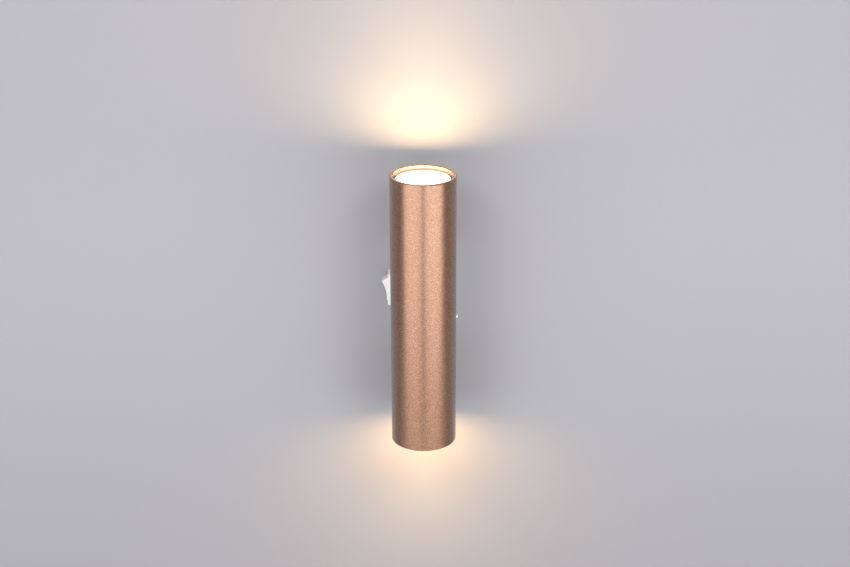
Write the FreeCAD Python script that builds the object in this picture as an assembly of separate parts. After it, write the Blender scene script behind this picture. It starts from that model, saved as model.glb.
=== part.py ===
import FreeCAD
import Part
import math
import os

# Tube wall light: an upright tube, open at both ends, with a lamp facing up and a lamp facing
# down, carried by a small wall box that has a rocker switch in its left side.
# Millimetres. The wall is the plane y = 0, the front is -Y, up is +Z, and the origin is the
# middle of the wall bracket's back face.

# Tube
tube_diameter = 60.0
tube_wall = 3.0
tube_length = 260.0
tube_edge_radius = 0.7
axis_to_wall = 60.0

# Lamps, 50 mm twist-lock type
lamp_side_gap = 2.0
lamp_recess = 4.0
lamp_length = 54.0
lens_thickness = 2.6
lens_edge_radius = 0.9
lamp_head_depth = 8.0
lamp_shell_wall = 1.8
lamp_neck_diameter = 31.0
lamp_neck_length = 6.0
lamp_base_diameter = 25.0
lamp_base_length = 12.0
lamp_plug_length = 5.0
lamp_board_margin = 4.0
lamp_board_thickness = 1.6
pin_spacing = 10.0
pin_neck_diameter = 3.0
pin_head_diameter = 5.0
pin_head_length = 4.0
pin_neck_length = 3.3
pin_root_length = 4.0
pin_tip_radius = 0.6
twist_degrees = 20.0

# Lampholders
holder_diameter = 30.0
holder_height = 19.0
holder_lip = 2.7
holder_chamber_depth = 5.8
holder_screw_pitch = 22.4
holder_counterbore_depth = 5.0
contact_thickness = 0.8
contact_stem_length = 5.0
slot_clearance = 0.3
entry_clearance = 0.5
holder_edge_radius = 0.5

# Bracket inside the tube
bracket_sheet = 2.0
bracket_width = 26.0
bracket_bend_radius = 3.0
bracket_front_reach = 14.0
bracket_edge_gap = 0.15
lead_hole_diameter = 3.0

# Wall box cover
cover_width = 61.0
cover_end_gap = 1.8
cover_wall = 2.2
cover_corner_radius = 3.0
trough_depth = 3.0
pad_width = 16.0
pad_end_margin = 11.0
pad_rise = 1.2

# Wire bush through the cover, the tube and the bracket
bush_bore = 6.8
bush_outer = 9.6
bush_flange_diameter = 14.0
bush_flange_thickness = 1.4
bush_nut_flats = 14.0
bush_nut_thickness = 2.6
bush_tail = 1.0
bush_mouth_radius = 0.56

# Tube screws
tube_screw_pitch = 60.0
washer_diameter = 9.0
washer_thickness = 0.8
tube_screw_tail = 2.0

# Wall bracket
plate_thickness = 2.0
plate_width = 48.0
plate_height = 92.0
plate_corner_radius = 4.0
ear_bend_radius = 1.5
wall_slot_margin = 6.0
wall_slot_width = 4.6
wall_slot_length = 10.0
ear_height = 14.0
ear_reach = 17.0
hook_ear_reach = 16.0
ear_gap = 0.3
side_screw_z = -28.0
side_screw_depth = 10.0
hook_pitch = 74.0
hook_height = 8.0
hook_width = 4.0
hook_clearance = 0.4
cable_hole_diameter = 15.0
cable_hole_x = 9.0
cable_hole_z = 22.0
grommet_bore = 9.0
grommet_flange_diameter = 19.0
grommet_lip = 1.2

# Switch
bezel_length = 31.0
bezel_width = 13.0
bezel_height = 2.8
bezel_edge_radius = 0.6
switch_z = 3.0
switch_depth = 13.0
switch_body_length = 28.0
switch_body_width = 11.2
switch_body_depth = 16.0
switch_seat_gap = 0.2
switch_wall = 1.6
switch_side_wall = 1.0
switch_floor = 3.0
rocker_gap = 0.25
rocker_peak = 10.1
rocker_peak_height = 3.75
rocker_hollow_height = 2.0
rocker_foot = 11.8
rocker_foot_depth = 3.0
rocker_pivot_depth = 3.3
rocker_tilt = 14.0
rocker_pin_diameter = 2.4
rocker_underside_depth = 4.5
rocker_hub_root_depth = 5.5
rocker_peak_radius = 1.2
pin_running_gap = 0.05
rocker_hub_width = 7.0
rocker_hub_depth = 9.0
plunger_diameter = 3.2
plunger_reach = 12.4
plunger_head = 5.6
plunger_tip_radius = 1.28
spring_wire = 0.4
spring_roof = 1.0
seesaw_length = 15.0
seesaw_width = 4.0
seesaw_thickness = 0.8
seesaw_depth = 13.2
seesaw_tilt = 8.0
seesaw_bead_radius = 0.9
bead_running_gap = 0.05
rivet_diameter = 2.4
rivet_height = 0.6
blade_width = 4.8
blade_thickness = 0.8
blade_length = 7.0
blade_offset = 9.0
blade_shoulder = 1.0
post_width = 2.4
post_gap = 0.4
line_tongue_lead = 1.0
contact_gap = 0.2

# Terminal block
block_x = 8.0
block_z = -26.5
block_poles = 3
block_pitch = 8.0
block_height = 16.0
block_depth = 12.0
block_margin = 4.8
block_edge_radius = 0.8
block_screw_diameter = 2.4
block_screw_head_height = 1.44
block_screw_tail = 1.6
barrel_diameter = 5.6
barrel_bore = 4.2
barrel_inset = 1.2
pole_screw_diameter = 2.5
pole_screw_head = 3.4
pole_screw_inset = 1.2
pole_screw_pitch = 8.0
pole_screw_slot_width = 0.6
pole_screw_slot_depth = 0.6
pole_screw_tail = 0.4

# Earth points
wall_earth_x = -16.0
wall_earth_rise = 19.0
tube_earth_x = 7.5
tube_earth_rise = 14.0
tongue_thickness = 0.8
tongue_diameter = 7.0
tongue_barrel_diameter = 3.4
tongue_barrel_length = 5.0
tongue_reach = 7.0
tongue_stem_width = 2.72
tongue_crimp_overlap = 1.0

# Screw sizes
m4_diameter = 4.0
m4_head_diameter = 8.0
m4_head_height = 3.0
m3_diameter = 3.0
m3_head_diameter = 5.6
m3_head_height = 2.4
recess_width = 0.9
recess_share = 0.6
head_round_share = 0.6
thread_gap = 0.05
screw_hole_gap = 0.25

# Leads
lead_diameter = 1.8
bush_ring_radius = 2.25
pole_ring_radius = 1.08
arc_share = 0.45
lead_turn_share = 0.6

# Small distances
fit_gap = 0.1
face_gap = 0.3
seat_gap = 0.02
through = 1.0

# Worked out from the sizes above
tube_radius = tube_diameter / 2
tube_bore_radius = tube_radius - tube_wall
lamp_diameter = 2 * (tube_bore_radius - lamp_side_gap)
lamp_board_diameter = lamp_diameter - 2 * lamp_board_margin
axis_y = -axis_to_wall
lamp_face_z = tube_length / 2 - lamp_recess
lamp_base_z = lamp_face_z - lamp_length + pin_head_length + pin_neck_length
holder_top_z = lamp_base_z - face_gap
holder_back_z = holder_top_z - holder_height
tube_earth_z = -(holder_back_z - bracket_sheet) + tube_earth_rise
web_back_y = axis_y + math.sqrt(tube_bore_radius ** 2 - (bracket_width / 2) ** 2) - bracket_edge_gap
web_front_y = web_back_y - bracket_sheet
cover_height = plate_height + 2 * (cover_wall + cover_end_gap)
pad_height = cover_height - 2 * pad_end_margin
wall_slot_pitch = plate_height - 2 * wall_slot_margin
wall_earth_z = -plate_height / 2 + wall_earth_rise
cover_front_y = axis_y + tube_radius - trough_depth
cover_side_x = cover_width / 2
cover_inner_x = cover_side_x - cover_wall
trough_radius = tube_radius + fit_gap
bulge_y = axis_y + trough_radius + cover_wall
pad_y = bulge_y + pad_rise
bezel_face_x = -cover_side_x - bezel_height
switch_y = -switch_depth
switch_back_x = -cover_side_x + switch_body_depth
side_screw_y = -side_screw_depth
ear_outer_x = cover_inner_x - ear_gap
block_top_z = block_z + block_height / 2
block_front_y = -plate_thickness - block_depth
barrel_y = -plate_thickness - block_depth / 2
barrel_end_z = block_top_z - barrel_inset
lead_radius = lead_diameter / 2


def vec(x, y, z):
    return FreeCAD.Vector(x, y, z)


def block(x0, x1, y0, y1, z0, z1):
    return Part.makeBox(x1 - x0, y1 - y0, z1 - z0, vec(x0, y0, z0))


def rod(start, end, diameter):
    along = end - start
    return Part.makeCylinder(diameter / 2, along.Length, start, along)


def rod_x(x0, x1, y, z, diameter):
    return rod(vec(x0, y, z), vec(x1, y, z), diameter)


def rod_y(x, y0, y1, z, diameter):
    return rod(vec(x, y0, z), vec(x, y1, z), diameter)


def rod_z(x, y, z0, z1, diameter):
    return rod(vec(x, y, z0), vec(x, y, z1), diameter)


def lathe(outline):
    """Turn an outline of (radius, z) corners about the tube's axis."""
    corners = [vec(radius, axis_y, z) for radius, z in outline]
    corners.append(corners[0])
    face = Part.Face(Part.makePolygon(corners))
    return face.revolve(vec(0, axis_y, 0), vec(0, 0, 1), 360)


def round_edges(shape, radius, chosen):
    edges = [edge for edge in shape.Edges if chosen(edge)]
    return shape.makeFillet(radius, edges)


def along_y(edge):
    box = edge.BoundBox
    return box.XLength < seat_gap and box.ZLength < seat_gap


def turned_over(shape):
    """The same piece for the lower end: half a turn about the X line through mid-height."""
    copy = shape.copy()
    copy.rotate(vec(0, axis_y, 0), vec(1, 0, 0), 180)
    return copy


def aimed(shape, point, direction):
    """Put a piece drawn along +Z at a point, with its +Z along the direction."""
    copy = shape.copy()
    copy.Placement = FreeCAD.Placement(point, FreeCAD.Rotation(vec(0, 0, 1), direction))
    return copy


def pan_screw(diameter, length, head_diameter, head_height):
    """A pan-head screw with a cross recess: head above z = 0, shank below."""
    head = Part.makeCylinder(head_diameter / 2, head_height)
    head = round_edges(head, head_height * head_round_share,
                       lambda edge: edge.BoundBox.ZMin > head_height / 2)
    arm = head_diameter * recess_share / 2
    half = recess_width / 2
    floor = head_height / 2
    for x, y in ((arm, half), (half, arm)):
        head = head.cut(block(-x, x, -y, y, floor, head_height + through))
    shank = Part.makeCylinder(diameter / 2 - thread_gap, length, vec(0, 0, -length))
    return head.fuse(shank)


def group(shapes):
    return Part.makeCompound(shapes)


# ---------------------------------------------------------------- tube and its bracket

def make_tube_housing():
    half = tube_length / 2
    tube = rod_z(0, axis_y, -half, half, tube_diameter)
    tube = tube.cut(rod_z(0, axis_y, -half - through, half + through, 2 * tube_bore_radius))
    tube = round_edges(tube, tube_edge_radius, lambda edge: edge.BoundBox.ZLength < seat_gap)
    for z in (-tube_screw_pitch / 2, tube_screw_pitch / 2):
        tube = tube.cut(rod_y(0, axis_y, 0, z, m4_diameter + 2 * screw_hole_gap))
    return tube.cut(rod_y(0, axis_y, 0, 0, bush_outer + 2 * fit_gap))


def holder_screw_points():
    return [vec(0, axis_y - holder_screw_pitch / 2, 0), vec(0, axis_y + holder_screw_pitch / 2, 0)]


def make_lamp_bracket():
    half = bracket_width / 2
    front = axis_y - bracket_front_reach
    outside = block(-half, half, front, web_back_y, -holder_back_z, holder_back_z)
    inside_z = holder_back_z - bracket_sheet
    inside = block(-half - through, half + through, front - through, web_front_y, -inside_z, inside_z)

    def outer_bend(edge):
        box = edge.BoundBox
        return box.YMin > web_back_y - seat_gap and box.XLength > half

    outside = round_edges(outside, bracket_bend_radius, outer_bend)
    bracket = outside.cut(inside)
    for z in (-tube_screw_pitch / 2, tube_screw_pitch / 2):
        bracket = bracket.cut(rod_y(0, web_front_y - through, web_back_y + through, z, m4_diameter))
    bracket = bracket.cut(rod_y(0, web_front_y - through, web_back_y + through, 0,
                                bush_outer + 2 * fit_gap))
    bracket = bracket.cut(rod_y(tube_earth_x, web_front_y - through, web_back_y + through,
                                tube_earth_z, m3_diameter))
    for z0 in (-holder_back_z - through, inside_z - through):
        z1 = z0 + bracket_sheet + 2 * through
        for point in holder_screw_points():
            bracket = bracket.cut(rod_z(0, point.y, z0, z1, m3_diameter))
        for x in (-pin_spacing / 2, pin_spacing / 2):
            bracket = bracket.cut(rod_z(x, axis_y, z0, z1, lead_hole_diameter))
    return bracket


def make_tube_screws():
    seat = pad_y + washer_thickness
    length = seat - web_front_y + tube_screw_tail
    screw = pan_screw(m4_diameter, length, m4_head_diameter, m4_head_height)
    half = tube_screw_pitch / 2
    return group([aimed(screw, vec(0, seat, z), vec(0, 1, 0)) for z in (-half, half)])


def make_tube_screw_washers():
    washers = []
    for z in (-tube_screw_pitch / 2, tube_screw_pitch / 2):
        disc = rod_y(0, pad_y, pad_y + washer_thickness, z, washer_diameter)
        hole = rod_y(0, pad_y - through, pad_y + through + washer_thickness, z,
                     m4_diameter + 2 * fit_gap)
        washers.append(disc.cut(hole))
    return group(washers)


def bush_end_y():
    return web_front_y - bush_nut_thickness - bush_tail


def make_wire_bush():
    flange = rod_y(0, pad_y, pad_y + bush_flange_thickness, 0, bush_flange_diameter)
    barrel = rod_y(0, bush_end_y(), pad_y, 0, bush_outer)
    bore = rod_y(0, bush_end_y() - through, pad_y + bush_flange_thickness + through, 0, bush_bore)
    bush = flange.fuse(barrel).cut(bore)

    def mouth(edge):
        box = edge.BoundBox
        bore_edge = abs(box.XLength - bush_bore) < seat_gap
        return bore_edge and box.YLength < seat_gap

    return round_edges(bush, bush_mouth_radius, mouth)


def make_bush_nut():
    across = bush_nut_flats / math.cos(math.pi / 6) / 2
    corners = []
    for step in range(7):
        angle = math.radians(60 * step + 30)
        corners.append(vec(across * math.cos(angle), web_front_y, across * math.sin(angle)))
    nut = Part.Face(Part.makePolygon(corners)).extrude(vec(0, -bush_nut_thickness, 0))
    hole = rod_y(0, web_front_y - bush_nut_thickness - through, web_front_y + through, 0,
                 bush_outer + 2 * thread_gap)
    return nut.cut(hole)


# ---------------------------------------------------------------- lampholders

def on_ring(radius, degrees, z, ahead=0.0):
    """A point about the tube's axis, moved ahead along the ring's tangent."""
    angle = math.radians(degrees)
    return vec(radius * math.cos(angle) - ahead * math.sin(angle),
               axis_y + radius * math.sin(angle) + ahead * math.cos(angle), z)


def pin_slot(start, half_width, z0, z1):
    """A slot about the tube's axis for one pin, from locked at start to unlocked."""
    radius = pin_spacing / 2
    end = start + twist_degrees
    middle = start + twist_degrees / 2
    outer = radius + half_width
    inner = radius - half_width
    arcs = [
        Part.Arc(on_ring(outer, start, z0), on_ring(outer, middle, z0), on_ring(outer, end, z0)),
        Part.Arc(on_ring(outer, end, z0), on_ring(radius, end, z0, half_width), on_ring(inner, end, z0)),
        Part.Arc(on_ring(inner, end, z0), on_ring(inner, middle, z0), on_ring(inner, start, z0)),
        Part.Arc(on_ring(inner, start, z0), on_ring(radius, start, z0, -half_width),
                 on_ring(outer, start, z0)),
    ]
    outline = Part.Wire([arc.toShape() for arc in arcs])
    return Part.Face(outline).extrude(vec(0, 0, z1 - z0))


def chamber_range():
    top = holder_top_z - holder_lip
    return top - holder_chamber_depth, top


def make_lampholder():
    holder = rod_z(0, axis_y, holder_back_z, holder_top_z, holder_diameter)
    holder = round_edges(holder, holder_edge_radius, lambda edge: edge.BoundBox.ZMin > holder_top_z - seat_gap)
    chamber_floor, chamber_top = chamber_range()
    outside = holder_top_z + through
    for start in (0, 180):
        head_room = pin_head_diameter / 2 + slot_clearance
        neck_room = pin_neck_diameter / 2 + slot_clearance
        holder = holder.cut(pin_slot(start, head_room, chamber_floor, chamber_top))
        holder = holder.cut(pin_slot(start, neck_room, chamber_top - through, outside))
        entry = on_ring(pin_spacing / 2, start + twist_degrees, 0)
        holder = holder.cut(rod_z(entry.x, entry.y, chamber_top - through, outside,
                                  pin_head_diameter + 2 * entry_clearance))
        place = on_ring(pin_spacing / 2, start, 0)
        holder = holder.cut(rod_z(place.x, place.y, holder_back_z - through,
                                  chamber_floor + through, lead_diameter + 2 * face_gap))
    for point in holder_screw_points():
        holder = holder.cut(rod_z(0, point.y, holder_back_z - through, holder_top_z + through,
                                  m3_diameter + 2 * screw_hole_gap))
        holder = holder.cut(rod_z(0, point.y, holder_top_z - holder_counterbore_depth,
                                  holder_top_z + through, m3_head_diameter + 4 * fit_gap))
    return holder.removeSplitter()


def make_holder_contacts():
    chamber_floor = chamber_range()[0]
    stem_end = chamber_floor - contact_stem_length
    contacts = []
    for side in (-1, 1):
        x = side * pin_spacing / 2
        pad = rod_z(x, axis_y, chamber_floor, chamber_floor + contact_thickness, pin_head_diameter)
        stem = rod_z(x, axis_y, stem_end, chamber_floor, lead_diameter)
        contacts.append(pad.fuse(stem))
    return group(contacts)


def make_lampholder_screws():
    seat = holder_top_z - holder_counterbore_depth
    length = seat - holder_back_z + bracket_sheet + 1
    screws = []
    for point in holder_screw_points():
        screw = pan_screw(m3_diameter, length, m3_head_diameter, m3_head_height)
        screw = aimed(screw, vec(0, point.y, seat), vec(0, 0, 1))
        screws.append(screw)
        screws.append(turned_over(screw))
    return group(screws)


# ---------------------------------------------------------------- lamps

def lamp_shoulder_z():
    return lamp_base_z + lamp_base_length


def make_lamp_shell():
    radius = lamp_diameter / 2
    wall = lamp_shell_wall
    neck = lamp_neck_diameter / 2
    top = lamp_face_z - lens_thickness
    head = lamp_face_z - lamp_head_depth
    shoulder = lamp_shoulder_z()
    neck_end = shoulder + lamp_neck_length
    return lathe([(neck, shoulder), (neck, neck_end), (radius, head), (radius, top),
                  (radius - wall, top), (radius - wall, head + wall / 2),
                  (neck - wall, neck_end + wall / 2), (neck - wall, shoulder)])


def make_lamp_lens():
    radius = lamp_diameter / 2
    bottom = lamp_face_z - lens_thickness
    cap = rod_z(0, axis_y, bottom, lamp_face_z, 2 * radius)
    spigot_radius = radius - lamp_shell_wall - fit_gap
    spigot = rod_z(0, axis_y, bottom - lens_thickness, bottom, 2 * spigot_radius)
    hollow = rod_z(0, axis_y, bottom - lens_thickness - through, bottom,
                   2 * (radius - 2 * lamp_shell_wall))
    cap = round_edges(cap, lens_edge_radius, lambda edge: edge.BoundBox.ZMin > bottom + seat_gap)
    return cap.fuse(spigot.cut(hollow))


def make_lamp_board():
    top = lamp_face_z - 2 * lens_thickness - fit_gap
    return rod_z(0, axis_y, top - lamp_board_thickness, top, lamp_board_diameter)


def make_lamp_base():
    shoulder = lamp_shoulder_z()
    base = rod_z(0, axis_y, lamp_base_z, shoulder, lamp_base_diameter)
    collar = Part.makeCone(lamp_base_diameter / 2, lamp_neck_diameter / 2, lamp_neck_length / 2,
                           vec(0, axis_y, shoulder - lamp_neck_length / 2))
    plug_diameter = lamp_neck_diameter - 2 * lamp_shell_wall - 2 * fit_gap
    plug = rod_z(0, axis_y, shoulder, shoulder + lamp_plug_length, plug_diameter)
    base = base.fuse(collar).fuse(plug)
    for x in (-pin_spacing / 2, pin_spacing / 2):
        base = base.cut(rod_z(x, axis_y, lamp_base_z - through, lamp_base_z + pin_root_length,
                              pin_neck_diameter))
    return base.removeSplitter()


def make_lamp_pins():
    head_top = lamp_base_z - pin_neck_length
    pins = []
    for x in (-pin_spacing / 2, pin_spacing / 2):
        head = rod_z(x, axis_y, head_top - pin_head_length, head_top, pin_head_diameter)
        head = round_edges(head, pin_tip_radius, lambda edge: edge.BoundBox.ZMax < head_top - seat_gap)
        neck = rod_z(x, axis_y, head_top, lamp_base_z + pin_root_length,
                     pin_neck_diameter - 2 * thread_gap)
        pins.append(head.fuse(neck))
    return group(pins)


# ---------------------------------------------------------------- wall box

def make_cover():
    half = cover_height / 2
    cover = block(-cover_side_x, cover_side_x, cover_front_y, 0, -half, half)
    cover = round_edges(cover, cover_corner_radius, lambda edge: along_y(edge)
                        or edge.BoundBox.YMax < cover_front_y + seat_gap)
    inner = half - cover_wall
    cavity = block(-cover_inner_x, cover_inner_x, cover_front_y + cover_wall, through, -inner, inner)
    bulge = rod_z(0, axis_y, -half, half, 2 * (trough_radius + cover_wall))
    pad = block(-pad_width / 2, pad_width / 2, cover_front_y, pad_y, -pad_height / 2, pad_height / 2)
    cover = cover.cut(cavity.cut(bulge).cut(pad))
    cover = cover.cut(rod_z(0, axis_y, -half - through, half + through, 2 * trough_radius))
    for z in (-tube_screw_pitch / 2, tube_screw_pitch / 2):
        cover = cover.cut(rod_y(0, axis_y, pad_y + through, z, m4_diameter + 2 * screw_hole_gap))
    cover = cover.cut(rod_y(0, axis_y, pad_y + through, 0, bush_outer + 2 * fit_gap))
    cover = cover.cut(rod_x(cover_inner_x - through, cover_side_x + through, side_screw_y,
                            side_screw_z, m3_diameter + 2 * screw_hole_gap))
    seat_length = switch_body_length / 2 + switch_seat_gap
    seat_width = switch_body_width / 2 + switch_seat_gap
    cover = cover.cut(block(-cover_side_x - through, -cover_inner_x + through,
                            switch_y - seat_width, switch_y + seat_width,
                            switch_z - seat_length, switch_z + seat_length))
    for nib in hook_nibs(0):
        cover = cover.fuse(nib)
    return cover.removeSplitter()


def hook_nibs(gap):
    """Catches inside the cover's left wall; the gap widens them into the ear windows."""
    nibs = []
    reach = cover_inner_x - ear_gap - bracket_sheet - gap
    for z in (-hook_pitch / 2, hook_pitch / 2):
        nibs.append(block(-cover_inner_x - gap, -reach - gap,
                          side_screw_y - hook_width / 2 - gap, side_screw_y + hook_width / 2 + gap,
                          z - hook_height / 2 - gap, z + hook_height / 2 + gap))
    return nibs


def make_cover_screw():
    screw = pan_screw(m3_diameter, cover_wall + ear_gap + 2 * bracket_sheet, m3_head_diameter,
                      m3_head_height)
    return aimed(screw, vec(cover_side_x, side_screw_y, side_screw_z), vec(1, 0, 0))


def make_wall_bracket():
    half_x = plate_width / 2
    half_z = plate_height / 2
    plate = block(-half_x, half_x, -plate_thickness, 0, -half_z, half_z)
    plate = round_edges(plate, plate_corner_radius, along_y)
    inner_x = ear_outer_x - bracket_sheet
    ears = [(1, side_screw_z, ear_height, ear_reach)]
    for z in (-hook_pitch / 2, hook_pitch / 2):
        ears.append((-1, z, ear_height, hook_ear_reach))
    for side, z, height, reach in ears:
        low = z - height / 2
        high = z + height / 2
        foot_x = sorted((side * (half_x - plate_thickness), side * ear_outer_x))
        ear_x = sorted((side * inner_x, side * ear_outer_x))
        foot = block(foot_x[0], foot_x[1], -plate_thickness, 0, low, high)
        ear = block(ear_x[0], ear_x[1], -reach, 0, low, high)
        bent = foot.fuse(ear).removeSplitter()

        def outer_bend(corner):
            box = corner.BoundBox
            outside = abs(box.XMin) > ear_outer_x - seat_gap
            return outside and box.YMin > -seat_gap and box.ZLength > height / 2

        plate = plate.fuse(round_edges(bent, ear_bend_radius, outer_bend))
    for window in hook_nibs(hook_clearance):
        plate = plate.cut(window)
    half_slot = (wall_slot_length - wall_slot_width) / 2
    front = -plate_thickness - through
    half_width = wall_slot_width / 2
    for z in (-wall_slot_pitch / 2, wall_slot_pitch / 2):
        for end in (z - half_slot, z + half_slot):
            plate = plate.cut(rod_y(0, front, through, end, wall_slot_width))
        plate = plate.cut(block(-half_width, half_width, front, through, z - half_slot, z + half_slot))
    plate = plate.cut(rod_y(cable_hole_x, front, through, cable_hole_z, cable_hole_diameter))
    plate = plate.cut(rod_y(wall_earth_x, front, through, wall_earth_z, m3_diameter))
    plate = plate.cut(rod_y(block_screw_x(), front, through, block_z, block_screw_diameter))
    plate = plate.cut(rod_x(inner_x - through, ear_outer_x + through, side_screw_y, side_screw_z,
                            m3_diameter))
    return plate.removeSplitter()


def make_cable_grommet():
    front = -plate_thickness - grommet_lip
    barrel = rod_y(cable_hole_x, front, 0, cable_hole_z, cable_hole_diameter - 2 * seat_gap)
    flange = rod_y(cable_hole_x, front, -plate_thickness, cable_hole_z, grommet_flange_diameter)
    grommet = barrel.fuse(flange)
    grommet = grommet.cut(rod_y(cable_hole_x, front - through, through, cable_hole_z, grommet_bore))
    return grommet.removeSplitter()


# ---------------------------------------------------------------- switch

def switch_point(along, height, y=switch_y):
    """A point from its place along the switch and its height above the bezel's face."""
    return vec(bezel_face_x - height, y, switch_z + along)


def switch_block(along0, along1, height0, height1, width):
    low = switch_point(along0, height1, switch_y - width / 2)
    return Part.makeBox(height1 - height0, width, along1 - along0, low)


def tilt(shape, depth, degrees):
    copy = shape.copy()
    copy.rotate(switch_point(0, -depth), vec(0, 1, 0), degrees)
    return copy


def floor_height():
    return -(bezel_height + switch_body_depth - switch_floor)


def make_switch_body():
    half = bezel_length / 2
    bezel = switch_block(-half, half, -bezel_height, 0, bezel_width)
    bezel = round_edges(bezel, bezel_edge_radius, lambda edge: edge.BoundBox.XMin
                        < bezel_face_x + bezel_height / 2)
    half = switch_body_length / 2
    back = -(bezel_height + switch_body_depth)
    body = bezel.fuse(switch_block(-half, half, back, -bezel_height, switch_body_width))
    well = half - switch_wall
    well_width = switch_body_width - 2 * switch_side_wall
    body = body.cut(switch_block(-well, well, floor_height(), through, well_width))
    pivot = switch_point(0, -rocker_pivot_depth)
    body = body.cut(rod_y(pivot.x, switch_y - switch_body_width, switch_y + switch_body_width,
                          pivot.z, rocker_pin_diameter + 2 * pin_running_gap))
    for along in (0, blade_offset):
        body = body.cut(switch_block(along - blade_width / 2 - fit_gap, along + blade_width / 2 + fit_gap,
                                     back - through, floor_height() + through,
                                     blade_thickness + 2 * fit_gap))
    return body.removeSplitter()


def rocker_width():
    return switch_body_width - 2 * switch_side_wall - 2 * rocker_gap


def plunger_bore():
    return plunger_diameter + 2 * fit_gap


def make_rocker():
    width = rocker_width()
    half = width / 2
    front = switch_y - half

    def at(along, height):
        return switch_point(along, height, front)

    face = Part.Arc(at(-rocker_peak, rocker_peak_height), at(0, rocker_hollow_height),
                    at(rocker_peak, rocker_peak_height)).toShape()
    hub = rocker_hub_width / 2
    rest = [(rocker_peak, rocker_peak_height), (rocker_foot, -rocker_foot_depth),
            (rocker_peak, -rocker_underside_depth), (hub, -rocker_hub_root_depth),
            (hub, -rocker_hub_depth), (-hub, -rocker_hub_depth), (-hub, -rocker_hub_root_depth),
            (-rocker_peak, -rocker_underside_depth), (-rocker_foot, -rocker_foot_depth),
            (-rocker_peak, rocker_peak_height)]
    sides = Part.makePolygon([at(along, height) for along, height in rest])
    outline = Part.Wire([face] + sides.Edges)
    rocker = Part.Face(outline).extrude(vec(0, width, 0))

    def peak(edge):
        box = edge.BoundBox
        middle = (rocker_peak_height + rocker_hollow_height) / 2
        return box.XMax < bezel_face_x - middle and box.ZLength < seat_gap

    rocker = round_edges(rocker, rocker_peak_radius, peak)
    pivot = switch_point(0, -rocker_pivot_depth)
    reach = switch_body_width / 2 - fit_gap
    rocker = rocker.fuse(rod_y(pivot.x, switch_y - reach, switch_y + reach, pivot.z,
                               rocker_pin_diameter))
    bore = rod_x(switch_point(0, -spring_roof).x, switch_point(0, -rocker_hub_depth - through).x,
                 switch_y, switch_z, plunger_bore())
    return tilt(rocker.cut(bore), rocker_pivot_depth, -rocker_tilt)


def make_plunger():
    head = switch_point(0, -plunger_head)
    tip = switch_point(0, -plunger_reach)
    plunger = rod(head, tip, plunger_diameter)
    plunger = round_edges(plunger, plunger_tip_radius, lambda edge: edge.BoundBox.XMin
                          > tip.x - seat_gap)
    return tilt(plunger, rocker_pivot_depth, -rocker_tilt)


def make_spring():
    top = switch_point(0, -spring_roof)
    bottom = switch_point(0, -plunger_head)
    outer = plunger_bore() - 2 * fit_gap
    sleeve = rod(top, bottom, outer).cut(rod(top, bottom, outer - 2 * spring_wire))
    return tilt(sleeve, rocker_pivot_depth, -rocker_tilt)


def rivet_along():
    return seesaw_length / 2 - rivet_diameter / 2


def pivot_rod(radius):
    """A round bar on the seesaw's pivot line."""
    pivot = switch_point(0, -seesaw_depth)
    half = vec(0, seesaw_width / 2, 0)
    return rod(pivot - half, pivot + half, 2 * radius)


def make_seesaw():
    half = seesaw_length / 2
    under = -seesaw_depth - seesaw_thickness / 2
    strip = switch_block(-half, half, under, under + seesaw_thickness, seesaw_width)
    start = switch_point(rivet_along(), under)
    strip = strip.fuse(rod(start, start + vec(rivet_height, 0, 0), rivet_diameter))
    over = under + seesaw_thickness
    bead = pivot_rod(seesaw_bead_radius).cut(
        switch_block(-half, half, over, over + 2 * seesaw_bead_radius, 2 * seesaw_width))
    return tilt(strip.fuse(bead), seesaw_depth, seesaw_tilt)


def make_common_terminal():
    back = -(bezel_height + switch_body_depth)
    shoulder = floor_height() + blade_shoulder
    top = -seesaw_depth - seesaw_thickness / 2 - post_gap
    half = blade_width / 2
    blade = switch_block(-half, half, back - blade_length, shoulder, blade_thickness)
    post = switch_block(-post_width / 2, post_width / 2, shoulder, top, blade_thickness)
    post = post.cut(pivot_rod(seesaw_bead_radius + bead_running_gap))
    return blade.fuse(post).removeSplitter()


def make_line_terminal():
    back = -(bezel_height + switch_body_depth)
    half = blade_width / 2
    blade = switch_block(blade_offset - half, blade_offset + half, back - blade_length,
                         floor_height(), blade_thickness)
    angle = math.radians(seesaw_tilt)
    under = seesaw_thickness / 2 + rivet_height
    drop = rivet_along() + rivet_diameter / 2
    touch = -seesaw_depth - under * math.cos(angle) - drop * math.sin(angle) - contact_gap
    tongue = switch_block(rivet_along() - rivet_diameter / 2 - line_tongue_lead, blade_offset + half,
                          floor_height(), touch, seesaw_width)
    return blade.fuse(tongue).removeSplitter()


# ---------------------------------------------------------------- terminal block

def pole_x(pole):
    return block_x + (pole - (block_poles - 1) / 2) * block_pitch


def block_screw_x():
    return block_x - block_pitch / 2


def make_terminal_block():
    half = (block_poles - 1) * block_pitch / 2 + block_margin
    low = block_z - block_height / 2
    body = block(block_x - half, block_x + half, block_front_y, -plate_thickness, low, block_top_z)
    body = round_edges(body, block_edge_radius,
                       lambda edge: edge.BoundBox.YMax < block_front_y + seat_gap)
    for pole in range(block_poles):
        x = pole_x(pole)
        body = body.cut(rod_z(x, barrel_y, low - through, block_top_z + through,
                              barrel_diameter + 2 * fit_gap))
        for z in (block_z - pole_screw_pitch / 2, block_z + pole_screw_pitch / 2):
            body = body.cut(rod_y(x, block_front_y - through, barrel_y, z,
                                  pole_screw_head + 2 * fit_gap))
    body = body.cut(rod_y(block_screw_x(), block_front_y - through, -plate_thickness + through,
                          block_z, block_screw_diameter + 2 * fit_gap))
    return body.removeSplitter()


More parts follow.
